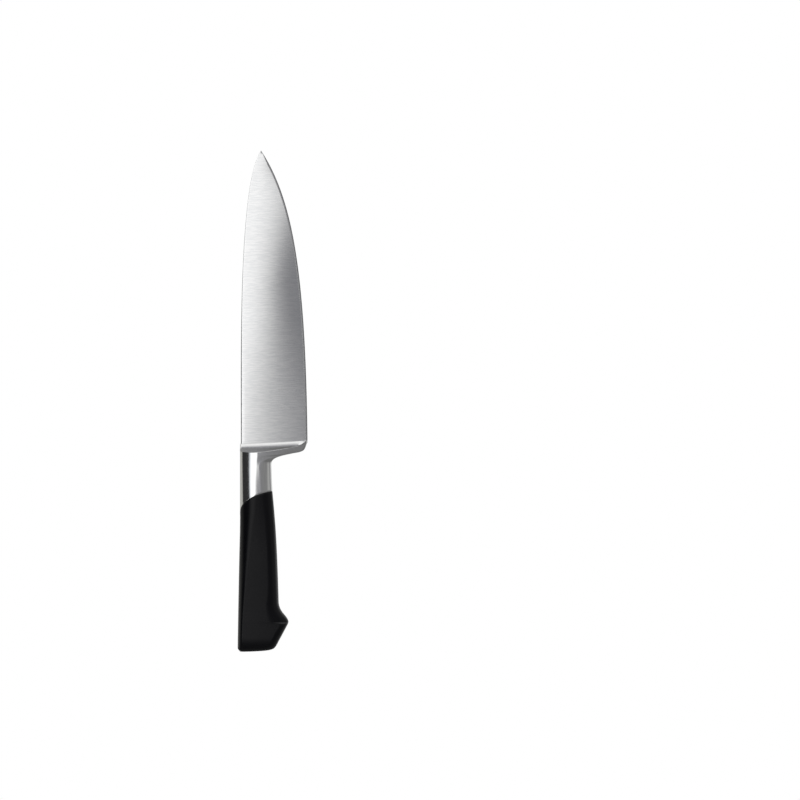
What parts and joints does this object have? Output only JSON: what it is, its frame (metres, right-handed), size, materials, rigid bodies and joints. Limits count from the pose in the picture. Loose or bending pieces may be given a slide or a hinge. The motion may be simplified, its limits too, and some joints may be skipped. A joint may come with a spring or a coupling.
{
  "type": "chef knife",
  "caption": "Chef's knife with a brushed steel blade, a polished full bolster and neck, and a black moulded handle with a hooked butt.",
  "frame": {"origin": "the point on the blade's +Y side face where a magnetic rack holds it, about the middle of the blade's width and 63.4 mm above the front of the bolster", "axes": "+Z from the butt to the point, +X from the spine to the cutting edge, Y across the knife's thickness, with the side towards the viewer at -Y"},
  "size_m": [0.0477, 0.0185, 0.3424],
  "materials": {
    "blade_steel": "fine satin brushing across the blade's width",
    "bolster_steel": "mirror-polished steel",
    "tang_steel": "plain unpolished steel, hidden",
    "core_plastic": "plain moulded plastic, hidden",
    "grip_plastic": "satin black moulding with a fine texture"
  },
  "bodies": {
    "root": {"blade": "blade_steel", "bolster": "bolster_steel", "tang": "tang_steel", "handle_core": "core_plastic", "handle_grip": "grip_plastic"}
  },
  "joints": []
}
